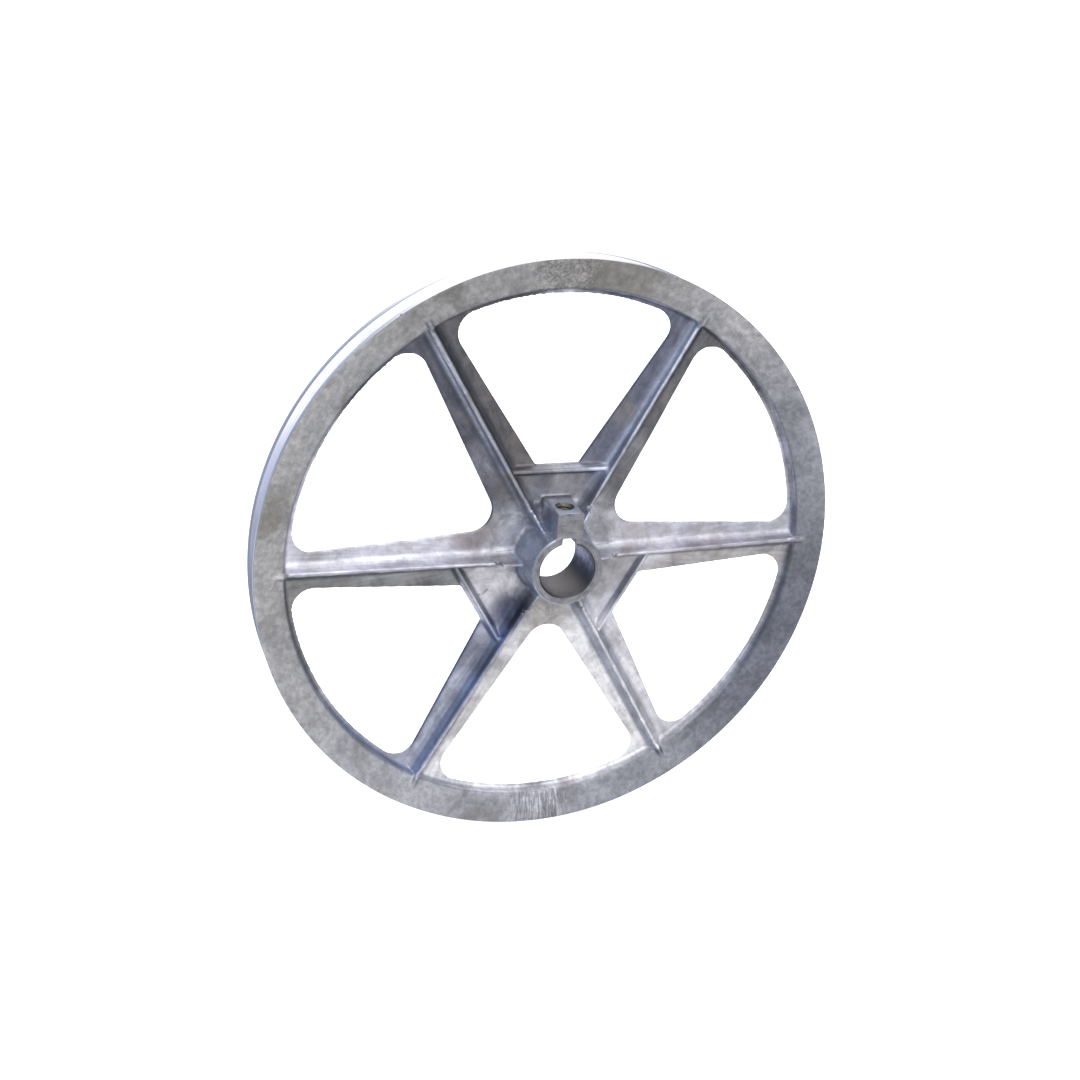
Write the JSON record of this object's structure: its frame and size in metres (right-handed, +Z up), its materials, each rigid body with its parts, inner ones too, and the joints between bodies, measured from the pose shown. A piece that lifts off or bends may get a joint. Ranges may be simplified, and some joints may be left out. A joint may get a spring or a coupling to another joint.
{
  "type": "v-belt pulley",
  "caption": "Spoked cast aluminium V-belt pulley with a keyed hub, a set screw boss and a single belt groove.",
  "frame": {"origin": "on the bore axis, at the mid-plane of the rim and its belt groove", "axes": "+Y along the bore towards the hub's short side (back), -Y towards the hub's long side (front), +Z up through the set screw, +X to the right seen from the front"},
  "size_m": [0.273, 0.0312, 0.273],
  "materials": {
    "cast_aluminium": "as-cast, dull and stained, with a machined groove, bore and hub face",
    "screw_steel": "black oxide, slightly worn"
  },
  "bodies": {
    "wheel": {"pulley_wheel": "cast_aluminium"},
    "screw": {"set_screw": "screw_steel"}
  },
  "joints": [
    {"name": "set_screw_travel", "type": "slide", "parent": "wheel", "child": "screw", "axis": [0, 0, -1], "range_m": [-0.009, 0.0029]}
  ]
}
